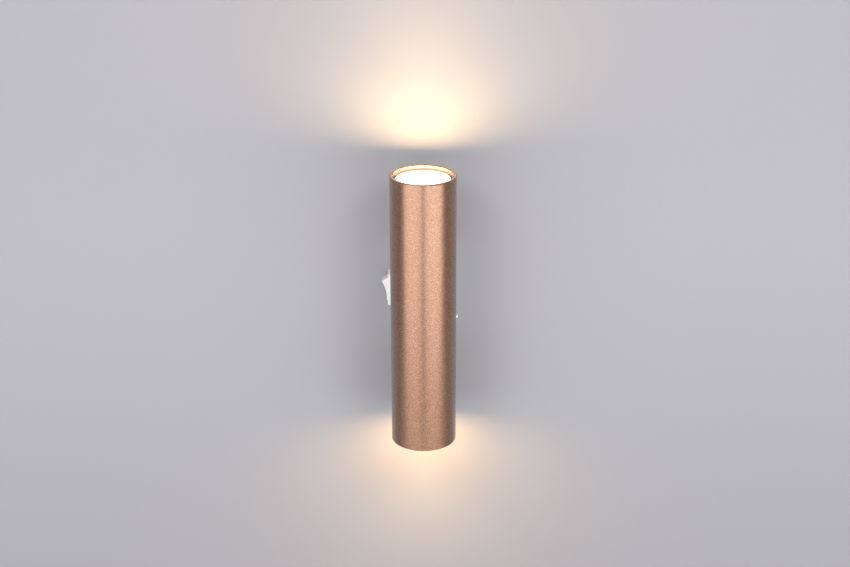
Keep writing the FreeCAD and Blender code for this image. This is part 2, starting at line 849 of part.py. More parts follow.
def make_terminal_barrels():
    barrels = []
    for pole in range(block_poles):
        x = pole_x(pole)
        low = 2 * block_z - barrel_end_z
        barrel = rod_z(x, barrel_y, low, barrel_end_z, barrel_diameter)
        barrel = barrel.cut(rod_z(x, barrel_y, low - through, barrel_end_z + through, barrel_bore))
        for z in (block_z - pole_screw_pitch / 2, block_z + pole_screw_pitch / 2):
            barrel = barrel.cut(rod_y(x, barrel_y - barrel_diameter, barrel_y, z, pole_screw_diameter))
        barrels.append(barrel)
    return group(barrels)


def make_terminal_screws():
    screws = []
    top = block_front_y + pole_screw_inset
    head_end = barrel_y - barrel_diameter / 2 - fit_gap
    for pole in range(block_poles):
        x = pole_x(pole)
        for z in (block_z - pole_screw_pitch / 2, block_z + pole_screw_pitch / 2):
            head = rod_y(x, top, head_end, z, pole_screw_head)
            half_slot = pole_screw_slot_width / 2
            slot = block(x - pole_screw_head, x + pole_screw_head, top - through,
                         top + pole_screw_slot_depth, z - half_slot, z + half_slot)
            tip = rod_y(x, head_end, barrel_y - barrel_bore / 2 + pole_screw_tail, z,
                        pole_screw_diameter - 2 * thread_gap)
            screws.append(head.cut(slot).fuse(tip))
    return group(screws)


def make_block_screw():
    screw = pan_screw(block_screw_diameter, block_depth + block_screw_tail, pole_screw_head,
                      block_screw_head_height)
    return aimed(screw, vec(block_screw_x(), block_front_y, block_z), vec(0, -1, 0))


# ---------------------------------------------------------------- earth points

def earth_tongue(x, face_y, z):
    """A ring tongue flat on a face, with its crimp barrel above the screw."""
    front = face_y - tongue_thickness
    ring = rod_y(x, front, face_y, z, tongue_diameter)
    stem_end = z + tongue_reach
    half_stem = tongue_stem_width / 2
    stem = block(x - half_stem, x + half_stem, front, face_y, z, stem_end)
    barrel_centre_y = face_y - tongue_barrel_diameter / 2
    barrel = rod_z(x, barrel_centre_y, stem_end - tongue_crimp_overlap,
                   stem_end + tongue_barrel_length, tongue_barrel_diameter)
    bore = rod_z(x, barrel_centre_y, stem_end + tongue_crimp_overlap,
                 stem_end + tongue_barrel_length + through, lead_diameter + 2 * fit_gap)
    hole = rod_y(x, front - through, face_y + through, z, m3_diameter + 2 * fit_gap)
    return ring.fuse(stem).fuse(barrel).cut(bore).cut(hole)


def lead_in_tongue(x, face_y, z):
    """The point inside a tongue's barrel where the lead ends."""
    return vec(x, face_y - tongue_barrel_diameter / 2, z + tongue_reach + tongue_crimp_overlap)


def make_earth_tongues():
    return group([earth_tongue(wall_earth_x, -plate_thickness, wall_earth_z),
                  earth_tongue(tube_earth_x, web_front_y, tube_earth_z)])


def make_earth_screws():
    outward = vec(0, -1, 0)
    on_wall = pan_screw(m3_diameter, tongue_thickness + plate_thickness, m3_head_diameter,
                        m3_head_height)
    on_web = pan_screw(m3_diameter, tongue_thickness + bracket_sheet, m3_head_diameter,
                       m3_head_height)
    wall = vec(wall_earth_x, -plate_thickness - tongue_thickness, wall_earth_z)
    web = vec(tube_earth_x, web_front_y - tongue_thickness, tube_earth_z)
    return group([aimed(on_wall, wall, outward), aimed(on_web, web, outward)])


# ---------------------------------------------------------------- leads

def lead(name, points):
    """A round lead: straight runs joined by tangent arcs as large as the runs allow."""
    runs = [(points[i + 1] - points[i]) for i in range(len(points) - 1)]
    edges = []
    start = points[0]
    radii = []
    for i in range(1, len(points) - 1):
        before = vec(*runs[i - 1]).normalize()
        after = vec(*runs[i]).normalize()
        turn = before.getAngle(after)
        cut = arc_share * min(runs[i - 1].Length, runs[i].Length)
        radius = cut / math.tan(turn / 2)
        radii.append(radius)
        arc_start = points[i] - before * cut
        arc_end = points[i] + after * cut
        inward = (after - before).normalize()
        centre = points[i] + inward * (radius / math.cos(turn / 2))
        middle = centre - inward * radius
        edges.append(Part.makeLine(start, arc_start))
        edges.append(Part.Arc(arc_start, middle, arc_end).toShape())
        start = arc_end
    edges.append(Part.makeLine(start, points[-1]))
    path = Part.Wire(edges)
    profile = Part.Wire(Part.makeCircle(lead_radius, points[0], runs[0]))
    solid = path.makePipeShell([profile], True, False)
    expected = math.pi * lead_radius ** 2 * path.Length
    print(name, "length", round(path.Length, 1), "volume ratio", round(solid.Volume / expected, 4),
          "radii", [round(radius, 1) for radius in radii])
    return solid


def bush_place(degrees):
    angle = math.radians(degrees)
    return bush_ring_radius * math.cos(angle), bush_ring_radius * math.sin(angle)


def contact_place(side, end):
    """Where a lead meets a lampholder contact: side -1 or 1 in X, end 1 upper or -1 lower."""
    stem_end = chamber_range()[0] - contact_stem_length
    return vec(side * pin_spacing / 2, axis_y, end * stem_end)


def lamp_lead(name, pole, ring_degrees, bush_degrees, side, end):
    """From a terminal pole through the bush to a lampholder."""
    angle = math.radians(ring_degrees)
    pole_at = vec(pole_x(pole) + pole_ring_radius * math.cos(angle),
                  barrel_y + pole_ring_radius * math.sin(angle), barrel_end_z)
    bush_x, bush_z = bush_place(bush_degrees)
    contact = contact_place(side, end)
    points = [pole_at,
              pole_at + vec(0, 0, 9),
              vec((pole_at.x + bush_x) / 2, pole_at.y - 5, bush_z - 3.5),
              vec(bush_x, pad_y + 6, bush_z),
              vec(bush_x, bush_end_y() - 4, bush_z),
              vec(bush_x + side, axis_y + 5, bush_z + end * 9),
              vec(contact.x, axis_y + 1, bush_z + end * 26),
              vec(contact.x, axis_y, end * (holder_back_z - 14)),
              contact]
    return lead(name, points)


def make_leads():
    common = vec(switch_back_x + blade_length, switch_y, switch_z)
    line = common + vec(0, 0, blade_offset)
    feed_end = vec(pole_x(2), barrel_y, barrel_end_z)
    angle = math.radians(90)
    return_end = vec(pole_x(0), barrel_y + pole_ring_radius * math.sin(angle), barrel_end_z)
    feed = [common, common + vec(9, 0, 0), vec(pole_x(2) - 5, barrel_y - 2, switch_z - 1),
            vec(pole_x(2), barrel_y, switch_z - 12), feed_end]
    back = [line, line + vec(8, 0, 0), vec(pole_x(0) + 3, -7, switch_z + 2),
            vec(pole_x(0), -5, switch_z - 10), return_end]
    wall_mouth = lead_in_tongue(wall_earth_x, -plate_thickness, wall_earth_z)
    tube_mouth = lead_in_tongue(tube_earth_x, web_front_y, tube_earth_z)
    bush_x, bush_z = bush_place(270)
    turn_z = bush_z + lead_turn_share * (tube_mouth.z - bush_z)
    earth = [wall_mouth, wall_mouth + vec(0, 0, 6), wall_mouth + vec(10, -8, 8),
             vec(bush_x, pad_y + 6, bush_z), vec(bush_x, bush_end_y() - 4, bush_z),
             vec(2, bush_end_y() - 9, bush_z - 9), vec(tube_earth_x - 1, tube_mouth.y - 3, turn_z),
             vec(tube_earth_x, tube_mouth.y, tube_mouth.z + 6), tube_mouth]
    return {
        "switch_feed_lead": lead("switch_feed_lead", feed),
        "switch_return_lead": lead("switch_return_lead", back),
        "earth_lead": lead("earth_lead", earth),
        "upper_live_lead": lamp_lead("upper_live_lead", 0, 330, 126, -1, 1),
        "lower_live_lead": lamp_lead("lower_live_lead", 0, 210, 198, -1, -1),
        "upper_neutral_lead": lamp_lead("upper_neutral_lead", 1, 60, 54, 1, 1),
        "lower_neutral_lead": lamp_lead("lower_neutral_lead", 1, 240, 342, 1, -1),
    }


# ---------------------------------------------------------------- every piece

def make_parts():
    parts = {
        "tube_housing": make_tube_housing(),
        "lamp_bracket": make_lamp_bracket(),
        "tube_screws": make_tube_screws(),
        "tube_screw_washers": make_tube_screw_washers(),
        "wire_bush": make_wire_bush(),
        "bush_nut": make_bush_nut(),
        "lampholder_screws": make_lampholder_screws(),
        "wall_box_cover": make_cover(),
        "cover_screw": make_cover_screw(),
        "wall_bracket": make_wall_bracket(),
        "cable_grommet": make_cable_grommet(),
        "switch_body": make_switch_body(),
        "switch_rocker": make_rocker(),
        "switch_plunger": make_plunger(),
        "switch_spring": make_spring(),
        "switch_seesaw": make_seesaw(),
        "switch_common_terminal": make_common_terminal(),
        "switch_line_terminal": make_line_terminal(),
        "terminal_block": make_terminal_block(),
        "terminal_barrels": make_terminal_barrels(),
        "terminal_screws": make_terminal_screws(),
        "terminal_block_screw": make_block_screw(),
        "earth_tongues": make_earth_tongues(),
        "earth_screws": make_earth_screws(),
    }
    paired = {
        "lampholder": make_lampholder(),
        "holder_contacts": make_holder_contacts(),
        "lamp_shell": make_lamp_shell(),
        "lamp_lens": make_lamp_lens(),
        "lamp_board": make_lamp_board(),
        "lamp_base": make_lamp_base(),
        "lamp_pins": make_lamp_pins(),
    }
    for name, shape in paired.items():
        parts["upper_" + name] = shape
        parts["lower_" + name] = turned_over(shape)
    parts.update(make_leads())
    return parts


os.makedirs("parts", exist_ok=True)
for node, solid in make_parts().items():
    solid.exportStep("parts/" + node + ".step")
    print(node, "solids", len(solid.Solids), "valid", solid.isValid(), "volume", round(solid.Volume, 1))
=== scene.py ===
import math

import bpy
from mathutils import Matrix, Vector


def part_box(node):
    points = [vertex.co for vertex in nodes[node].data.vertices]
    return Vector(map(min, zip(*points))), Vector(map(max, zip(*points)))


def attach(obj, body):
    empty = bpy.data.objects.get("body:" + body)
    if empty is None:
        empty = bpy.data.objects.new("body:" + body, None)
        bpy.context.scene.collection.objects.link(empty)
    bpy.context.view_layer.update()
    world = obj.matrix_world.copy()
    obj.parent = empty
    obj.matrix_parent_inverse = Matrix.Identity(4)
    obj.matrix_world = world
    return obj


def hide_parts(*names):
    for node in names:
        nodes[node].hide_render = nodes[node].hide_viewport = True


# Tube wall light: an upright copper tube with a lamp facing up and a lamp facing down, on a small
# wall box with a rocker switch. Metres; the wall is y = 0, the front is -Y and up is +Z.

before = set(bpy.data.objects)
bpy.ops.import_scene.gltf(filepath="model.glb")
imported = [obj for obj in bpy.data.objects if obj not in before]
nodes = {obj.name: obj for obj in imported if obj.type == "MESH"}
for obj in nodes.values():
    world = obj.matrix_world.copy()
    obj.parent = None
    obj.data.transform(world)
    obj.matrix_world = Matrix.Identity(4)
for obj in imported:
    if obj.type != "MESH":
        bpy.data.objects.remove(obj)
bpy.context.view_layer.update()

MM = 0.001
AXIS_Y = -0.060
LAMP_FACE = 0.126


# ---------------------------------------------------------------- camera

FOCAL_LENGTH = 70.28
SENSOR_WIDTH = 36.0
CAMERA_AT = Vector((0.0, -1.4544, 0.5976))
CAMERA_PITCH = 0.38907
CAMERA_YAW = 0.00108
CAMERA_ROLL = -0.00276


def add_camera():
    data = bpy.data.cameras.new("camera")
    data.lens = FOCAL_LENGTH
    data.sensor_width = SENSOR_WIDTH
    data.clip_start = 0.02
    ahead = Vector((math.sin(CAMERA_YAW) * math.cos(CAMERA_PITCH),
                    math.cos(CAMERA_YAW) * math.cos(CAMERA_PITCH), -math.sin(CAMERA_PITCH)))
    level_right = Vector((math.cos(CAMERA_YAW), -math.sin(CAMERA_YAW), 0))
    level_up = level_right.cross(ahead)
    right = math.cos(CAMERA_ROLL) * level_right + math.sin(CAMERA_ROLL) * level_up
    up = math.cos(CAMERA_ROLL) * level_up - math.sin(CAMERA_ROLL) * level_right
    camera = bpy.data.objects.new("camera", data)
    turned = Matrix((right, up, -ahead)).transposed().to_4x4()
    camera.matrix_world = Matrix.Translation(CAMERA_AT) @ turned
    bpy.context.scene.collection.objects.link(camera)
    bpy.context.scene.camera = camera


# ---------------------------------------------------------------- finishes

class Value:
    """A number that changes over a surface, used in plain arithmetic."""

    def __init__(self, finish, socket):
        self.finish = finish
        self.socket = socket

    def join(self, operation, first, second):
        return self.finish.add("ShaderNodeMath", {"operation": operation}, {0: first, 1: second})

    def __add__(self, other):
        return self.join("ADD", self, other)

    def __radd__(self, other):
        return self.join("ADD", other, self)

    def __sub__(self, other):
        return self.join("SUBTRACT", self, other)

    def __rsub__(self, other):
        return self.join("SUBTRACT", other, self)

    def __mul__(self, other):
        return self.join("MULTIPLY", self, other)

    def __rmul__(self, other):
        return self.join("MULTIPLY", other, self)

    def __pow__(self, other):
        return self.join("POWER", self, other)

    def __lt__(self, other):
        return self.join("LESS_THAN", self, other)

    def above(self, floor):
        return self.join("MAXIMUM", self, floor)

    def below(self, ceiling):
        return self.join("MINIMUM", self, ceiling)


class Finish:
    """One material. Constants go on the shader's own sockets, patterns are linked to them."""

    def __init__(self, name, **constants):
        self.material = bpy.data.materials.new(name)
        self.material.use_nodes = True
        self.tree = self.material.node_tree
        self.shader = next(n for n in self.tree.nodes if n.type == "BSDF_PRINCIPLED")
        self.output = next(n for n in self.tree.nodes if n.type == "OUTPUT_MATERIAL")
        self.give(**constants)

    def put(self, socket, value):
        if isinstance(value, Value):
            self.tree.links.new(value.socket, socket)
        elif isinstance(value, tuple) and socket.type == "RGBA":
            socket.default_value = (*value[:3], 1.0)
        else:
            socket.default_value = value

    def add(self, kind, settings=None, sockets=None, output=0):
        """Any node: its type, its settings, and the values or links of its sockets."""
        node = self.tree.nodes.new(kind)
        for setting, value in (settings or {}).items():
            setattr(node, setting, value)
        for key, value in (sockets or {}).items():
            self.put(node.inputs[key], value)
        return Value(self, node.outputs[output])

    def give(self, **sockets):
        """Shader sockets by name, with _ for a space."""
        for key, value in sockets.items():
            self.put(self.shader.inputs[key.replace("_", " ")], value)

    def place(self, stretch=(1, 1, 1), centre=(0, 0, 0)):
        at = self.add("ShaderNodeTexCoord", output="Object")
        if stretch == (1, 1, 1) and centre == (0, 0, 0):
            return at
        moved = tuple(-c * s for c, s in zip(centre, stretch))
        return self.add("ShaderNodeMapping", {}, {
            "Vector": at, "Scale": stretch, "Location": moved})

    def cloud(self, size, detail=2.0, roughness=0.5, stretch=(1, 1, 1)):
        """Soft random mottling; size is the width of a patch."""
        return self.add("ShaderNodeTexNoise", {}, {
            "Vector": self.place(stretch), "Scale": 1 / size, "Detail": detail,
            "Roughness": roughness})

    def flakes(self, size):
        """A random value for each small cell."""
        cell = self.add("ShaderNodeTexVoronoi", {}, {
            "Vector": self.place(), "Scale": 1 / size}, output="Color")
        return self.add("ShaderNodeSeparateColor", {}, {0: cell})

    def dots(self, size):
        """The distance from the middle of a random cell, as a share of its width."""
        return self.add("ShaderNodeTexVoronoi", {}, {
            "Vector": self.place(), "Scale": 1 / size}, output="Distance")

    def part(self, axis, centre=(0, 0, 0)):
        return self.add("ShaderNodeSeparateXYZ", {}, {0: self.place(centre=centre)}, output=axis)

    def facing(self, axis):
        """How far the surface faces along an axis, from -1 to 1."""
        normal = self.add("ShaderNodeNewGeometry", output="Normal")
        return self.add("ShaderNodeSeparateXYZ", {}, {0: normal}, output=axis)

    def ramp(self, value, low, high):
        """0 below low, 1 above high, smooth between."""
        return self.add("ShaderNodeMapRange", {"interpolation_type": "SMOOTHSTEP"},
                        {"Value": value, "From Min": low, "From Max": high})

    def mix(self, share, first, second):
        return self.add("ShaderNodeMix", {"data_type": "RGBA"},
                        {0: share, 6: first, 7: second}, output=2)

    def relief(self, height, depth, strength=1.0):
        """Bumps of that depth in metres, fed to the shader's normal."""
        self.give(Normal=self.add("ShaderNodeBump", {}, {
            "Height": height, "Distance": depth, "Strength": strength}))

    def cover(self, *names):
        for name in names:
            slots = nodes[name].material_slots
            if not slots:
                nodes[name].data.materials.append(self.material)
            for slot in slots:
                slot.material = self.material


def copper_paint():
    """Satin metallic paint with a fine sparkle under a clear coat."""
    finish = Finish("copper_paint", Coat_Roughness=0.22, Coat_IOR=1.5, Specular_IOR_Level=0.5)
    speck = finish.cloud(1.1 * MM, detail=3.0, roughness=0.65)
    flake = finish.flakes(0.42 * MM)
    drift = finish.cloud(35 * MM, detail=2.0)
    lift = (speck - 0.5) * 0.9 + (flake - 0.5) * 0.35 + (drift - 0.5) * 0.2 + 0.5
    colour = finish.mix(lift.above(0).below(1), (0.218, 0.098, 0.049), (0.312, 0.153, 0.085))
    glint = finish.ramp(finish.flakes(0.24 * MM), 0.82, 0.96) * 0.52
    finish.give(Base_Color=finish.mix(glint, colour, (0.80, 0.66, 0.56)),
                Metallic=0.98 + (flake - 0.5) * 0.04,
                Roughness=0.33 + (speck - 0.5) * 0.16 + (drift - 0.5) * 0.04,
                Coat_Weight=0.75 + (speck - 0.5) * 0.2)
    finish.relief(speck * 0.6 + flake * 0.4, 0.034 * MM, 0.5)
    return finish


def white_paint():
    """Satin powder paint with a faint orange peel."""
    finish = Finish("white_paint", Specular_IOR_Level=0.5, Coat_Roughness=0.3)
    peel = finish.cloud(1.6 * MM, detail=1.5)
    drift = finish.cloud(30 * MM)
    finish.give(Base_Color=finish.mix(drift, (0.82, 0.815, 0.805), (0.87, 0.865, 0.855)),
                Roughness=0.42 + (peel - 0.5) * 0.16, Coat_Weight=0.12 + (peel - 0.5) * 0.1)
    finish.relief(peel, 0.03 * MM, 0.6)
    return finish


def moulded(name, low, high, roughness, grain=0.45 * MM, depth=0.010 * MM, **constants):
    """Moulded plastic: a fine tool texture and soft flow marks."""
    finish = Finish(name, Specular_IOR_Level=0.5, **constants)
    tool = finish.cloud(grain, detail=2.0, roughness=0.6)
    flow = finish.cloud(9 * MM, stretch=(1, 1, 2.5))
    finish.give(Base_Color=finish.mix(flow * 0.8 + tool * 0.2, low, high),
                Roughness=roughness + (tool - 0.5) * 0.12 + (flow - 0.5) * 0.05)
    finish.relief(tool, depth, 0.6)
    return finish


def drawn_metal(name, low, high, roughness, streak=(1, 1, 14), grain=0.5 * MM, spangle=0.0,
                tarnish=None):
    """Bright metal with drawing streaks, soft plating patches and a little tarnish."""
    finish = Finish(name, Specular_IOR_Level=0.5)
    lines = finish.cloud(grain, detail=3.0, roughness=0.6, stretch=tuple(1 / s for s in streak))
    patch = finish.cloud(7 * MM, detail=3.0)
    colour = finish.mix(lines * 0.4 + patch * 0.6, low, high)
    if spangle:
        colour = finish.mix(finish.flakes(spangle) * 0.35, colour, tuple(c * 0.8 for c in high))
    if tarnish:
        colour = finish.mix(finish.ramp(patch, 0.55, 0.8) * 0.5, colour, tarnish)
    finish.give(Base_Color=colour, Metallic=1.0,
                Roughness=roughness + (lines - 0.5) * 0.18 + (patch - 0.5) * 0.12)
    finish.relief(lines, 0.006 * MM, 0.6)
    return finish


def glazed_ceramic():
    finish = Finish("holder_ceramic", Specular_IOR_Level=0.6, Coat_Roughness=0.12)
    clay = finish.cloud(0.7 * MM, detail=3.0)
    speckle = finish.ramp(finish.dots(2.4 * MM), 0.11, 0.05)
    body = finish.mix(clay, (0.70, 0.675, 0.615), (0.79, 0.77, 0.72))
    finish.give(Base_Color=finish.mix(speckle * 0.45, body, (0.34, 0.27, 0.20)),
                Roughness=0.38 + (clay - 0.5) * 0.15, Coat_Weight=0.5 + (clay - 0.5) * 0.2)
    finish.relief(clay, 0.02 * MM, 0.5)
    return finish


def sleeve(name, low, high):
    """Soft plastic wire covering, slightly waxy."""
    finish = Finish(name, Specular_IOR_Level=0.45)
    wax = finish.cloud(1.8 * MM, detail=2.0)
    fine = finish.cloud(0.25 * MM)
    finish.give(Base_Color=finish.mix(wax, low, high), Roughness=0.42 + (wax - 0.5) * 0.2)
    finish.relief(wax * 0.6 + fine * 0.4, 0.012 * MM, 0.5)
    return finish


def earth_sleeve():
    """Green wire covering with a yellow stripe along each side."""
    finish = Finish("lead_earth", Specular_IOR_Level=0.45)
    wax = finish.cloud(1.8 * MM, detail=2.0)
    side = finish.facing("X")
    stripe = finish.ramp(side * side, 0.42, 0.50)
    green = finish.mix(wax, (0.030, 0.20, 0.045), (0.050, 0.27, 0.070))
    yellow = finish.mix(wax, (0.70, 0.52, 0.035), (0.80, 0.62, 0.060))
    finish.give(Base_Color=finish.mix(stripe, green, yellow), Roughness=0.42 + (wax - 0.5) * 0.2)
    finish.relief(wax, 0.012 * MM, 0.5)
    return finish


def axis_distance(finish):
    """Distance from the tube's axis."""
    x = finish.part("X")
    y = finish.part("Y", centre=(0, AXIS_Y, 0))
    return (x * x + y * y) ** 0.5


def lit_lens():
    """Frosted lens, lit evenly, a little warmer towards its rim."""
    finish = Finish("lamp_lens", Specular_IOR_Level=0.5, Emission_Strength=3.0)
    frost = finish.cloud(0.5 * MM, detail=2.0)
    rim = finish.ramp(axis_distance(finish), 16 * MM, 25 * MM)
    finish.give(Base_Color=finish.mix(frost, (0.80, 0.79, 0.76), (0.88, 0.87, 0.84)),
                Roughness=0.55 + (frost - 0.5) * 0.2,
                Emission_Color=finish.mix(rim, (1.0, 0.97, 0.90), (1.0, 0.90, 0.72)))
    finish.relief(frost, 0.015 * MM, 0.5)
    return finish


def lamp_board():
    """White board with a ring of solder track between the light chips."""
    finish = Finish("lamp_board", Specular_IOR_Level=0.5)
    weave = finish.cloud(0.6 * MM)
    board = finish.mix(weave, (0.72, 0.74, 0.72), (0.80, 0.82, 0.80))
    ring = axis_distance(finish)
    track = finish.ramp(((ring - 17 * MM) * (ring - 17 * MM)) ** 0.5, 0.5 * MM, 0.35 * MM)
    finish.give(Base_Color=finish.mix(track * 0.6, board, (0.62, 0.60, 0.52)),
                Roughness=0.40 + (weave - 0.5) * 0.2, Metallic=track * 0.5)
    finish.relief(weave * 0.4 + track * 0.6, 0.03 * MM, 0.6)
    return finish


def rubber():
    finish = Finish("black_rubber", Specular_IOR_Level=0.35)
    bloom = finish.cloud(4 * MM, detail=3.0)
    pit = finish.cloud(0.35 * MM)
    finish.give(Base_Color=finish.mix(bloom, (0.012, 0.012, 0.013), (0.035, 0.034, 0.034)),
                Roughness=0.72 + (bloom - 0.5) * 0.2)
    finish.relief(pit, 0.02 * MM, 0.7)
    return finish


def dress_nodes():
    copper_paint().cover("tube_housing")
    white_paint().cover("wall_box_cover")
    moulded("switch_white", (0.87, 0.87, 0.865), (0.91, 0.91, 0.905), 0.36).cover("switch_body")
    moulded("rocker_white", (0.88, 0.88, 0.875), (0.92, 0.92, 0.915), 0.24).cover("switch_rocker")
    drawn_metal("white_screw", (0.62, 0.60, 0.57), (0.74, 0.72, 0.69), 0.34,
                streak=(1, 8, 1)).cover("cover_screw")
    drawn_metal("zinc_steel", (0.50, 0.52, 0.55), (0.66, 0.67, 0.69), 0.36, spangle=3.2 * MM,
                tarnish=(0.50, 0.47, 0.40)).cover(
        "lamp_bracket", "wall_bracket", "tube_screws", "tube_screw_washers", "lampholder_screws",
        "terminal_screws", "terminal_block_screw", "earth_screws")
    moulded("black_nylon", (0.014, 0.014, 0.015), (0.030, 0.030, 0.032), 0.48,
            depth=0.02 * MM).cover("wire_bush", "bush_nut", "switch_plunger")
    rubber().cover("cable_grommet")
    spring_steel = drawn_metal("spring_steel", (0.40, 0.40, 0.41), (0.56, 0.56, 0.57), 0.28,
                               streak=(6, 1, 1))
    spring_steel.cover("switch_spring")
    add_spring(spring_steel)
    add_light_chips()
    drawn_metal("brass", (0.56, 0.36, 0.12), (0.74, 0.52, 0.22), 0.30,
                tarnish=(0.36, 0.22, 0.09)).cover(
        "switch_seesaw", "switch_common_terminal", "switch_line_terminal", "terminal_barrels",
        "upper_holder_contacts", "lower_holder_contacts")
    drawn_metal("tinned_brass", (0.58, 0.56, 0.50), (0.72, 0.70, 0.65), 0.34,
                tarnish=(0.45, 0.38, 0.25)).cover("earth_tongues")
    moulded("block_nylon", (0.66, 0.66, 0.62), (0.76, 0.76, 0.73), 0.44).cover("terminal_block")
    sleeve("lead_live", (0.090, 0.030, 0.014), (0.140, 0.050, 0.024)).cover(
        "switch_feed_lead", "switch_return_lead", "upper_live_lead", "lower_live_lead")
    sleeve("lead_neutral", (0.020, 0.085, 0.26), (0.035, 0.12, 0.36)).cover(
        "upper_neutral_lead", "lower_neutral_lead")
    earth_sleeve().cover("earth_lead")
    glazed_ceramic().cover("upper_lampholder", "lower_lampholder")
    moulded("lamp_shell", (0.74, 0.74, 0.73), (0.82, 0.82, 0.81), 0.34).cover(
        "upper_lamp_shell", "lower_lamp_shell")
    lit_lens().cover("upper_lamp_lens", "lower_lamp_lens")
    lamp_board().cover("upper_lamp_board", "lower_lamp_board")
    moulded("lamp_base", (0.70, 0.70, 0.68), (0.78, 0.78, 0.76), 0.40).cover(
        "upper_lamp_base", "lower_lamp_base")
    drawn_metal("nickel_pins", (0.58, 0.55, 0.50), (0.72, 0.69, 0.64), 0.22,
                streak=(1, 1, 5)).cover("upper_lamp_pins", "lower_lamp_pins")


# ---------------------------------------------------------------- pieces of repeated shape

class Recipe:
    """A Geometry Nodes tree with named sizes, run once to make a plain mesh."""

    def __init__(self, name):
        self.tree = bpy.data.node_groups.new(name, "GeometryNodeTree")
        self.tree.interface.new_socket("Shape", in_out="OUTPUT", socket_type="NodeSocketGeometry")
        self.start = self.tree.nodes.new("NodeGroupInput")
        self.end = self.tree.nodes.new("NodeGroupOutput")
        self.given = {}

    def size(self, name, value):
        kind = "NodeSocketInt" if isinstance(value, int) else "NodeSocketFloat"
        socket = self.tree.interface.new_socket(name, in_out="INPUT", socket_type=kind)
        self.given[socket.identifier] = value
        return self.start.outputs[name]

    def add(self, kind, settings=None, sockets=None, output=0):
        node = self.tree.nodes.new(kind)
        for setting, value in (settings or {}).items():
            setattr(node, setting, value)
        for key, value in (sockets or {}).items():
            for each in value if isinstance(value, list) else [value]:
                if isinstance(each, bpy.types.NodeSocket):
                    self.tree.links.new(each, node.inputs[key])
                else:
                    node.inputs[key].default_value = each
        return node.outputs[output]

    def maths(self, operation, first, second):
        return self.add("ShaderNodeMath", {"operation": operation}, {0: first, 1: second})

    def paint(self, shape, finish, only=True):
        return self.add("GeometryNodeSetMaterial", {}, {
            "Geometry": shape, "Material": finish.material, "Selection": only})

    def whole(self, shape):
        return self.add("GeometryNodeRealizeInstances", {}, {0: shape})

    def make(self, name, shape, place):
        self.tree.links.new(shape, self.end.inputs[0])
        piece = bpy.data.objects.new(name, bpy.data.meshes.new(name))
        bpy.context.scene.collection.objects.link(piece)
        modifier = piece.modifiers.new("shape", "NODES")
        modifier.node_group = self.tree
        for identifier, value in self.given.items():
            modifier[identifier] = value
        ready = bpy.context.evaluated_depsgraph_get()
        mesh = bpy.data.meshes.new_from_object(piece.evaluated_get(ready))
        piece.modifiers.clear()
        mesh.transform(place)
        piece.data = mesh
        return piece


def chip_body():
    """White moulded chip body."""
    return moulded("chip_body", (0.74, 0.74, 0.72), (0.82, 0.82, 0.80), 0.40)


def phosphor():
    """Yellow window of a light chip, lit."""
    finish = Finish("phosphor", Specular_IOR_Level=0.5, Emission_Strength=0.8)
    grain = finish.cloud(0.2 * MM, detail=2.0)
    colour = finish.mix(grain, (0.80, 0.55, 0.06), (0.90, 0.68, 0.12))
    finish.give(Base_Color=colour, Emission_Color=colour, Roughness=0.35 + (grain - 0.5) * 0.2)
    finish.relief(grain, 0.01 * MM, 0.5)
    return finish


CHIP_RINGS = (("Inner", 5, 5.5 * MM), ("Middle", 10, 11.5 * MM), ("Outer", 16, 17.5 * MM))


def add_light_chips():
    """Rings of light chips on each lamp's board, under its lens."""
    body, window = chip_body(), phosphor()
    for lamp, side in (("upper_lamp", 1), ("lower_lamp", -1)):
        recipe = Recipe(lamp + "_chips")
        width = recipe.size("Chip width", 2.6 * MM)
        height = recipe.size("Chip height", 0.6 * MM)
        opening = recipe.size("Window radius", 0.95 * MM)
        glass = recipe.size("Window height", 0.12 * MM)
        size = recipe.add("ShaderNodeCombineXYZ", {}, {"X": width, "Y": width, "Z": height})
        block = recipe.add("GeometryNodeMeshCube", {}, {"Size": size})
        block = recipe.add("GeometryNodeTransform", {}, {
            "Geometry": block, "Translation": recipe.add("ShaderNodeCombineXYZ", {}, {
                "Z": recipe.maths("MULTIPLY", height, 0.5)})})
        disc = recipe.add("GeometryNodeMeshCylinder", {}, {
            "Vertices": 20, "Radius": opening, "Depth": glass})
        above = recipe.maths("ADD", height, recipe.maths("MULTIPLY", glass, 0.5))
        disc = recipe.add("GeometryNodeTransform", {}, {
            "Geometry": disc, "Translation": recipe.add("ShaderNodeCombineXYZ", {}, {"Z": above})})
        chip = recipe.add("GeometryNodeJoinGeometry", {}, {0: [block, disc]})
        rings = []
        for label, count, radius in CHIP_RINGS:
            many = recipe.size(label + " ring count", count)
            points = recipe.add("GeometryNodeMeshCircle", {}, {
                "Vertices": many, "Radius": recipe.size(label + " ring radius", radius)})
            turn = recipe.maths("MULTIPLY", recipe.add("GeometryNodeInputIndex"),
                                recipe.maths("DIVIDE", 2 * math.pi, many))
            rings.append(recipe.add("GeometryNodeInstanceOnPoints", {}, {
                "Points": points, "Instance": chip,
                "Rotation": recipe.add("ShaderNodeCombineXYZ", {}, {"Z": turn})}))
        whole = recipe.whole(recipe.add("GeometryNodeJoinGeometry", {}, {0: rings}))
        level = recipe.add("ShaderNodeSeparateXYZ", {}, {
            0: recipe.add("GeometryNodeInputPosition")}, output="Z")
        lit = recipe.maths("GREATER_THAN", level, recipe.maths("ADD", height, 0.02 * MM))
        shape = recipe.paint(recipe.paint(whole, body), window, lit)
        low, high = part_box(lamp + "_board")
        board = Vector((0, AXIS_Y, high.z if side > 0 else low.z))
        turned = Matrix.Identity(4) if side > 0 else Matrix.Rotation(math.pi, 4, "X")
        chips = recipe.make(lamp + "_chips", shape, Matrix.Translation(board) @ turned)
        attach(chips, lamp)


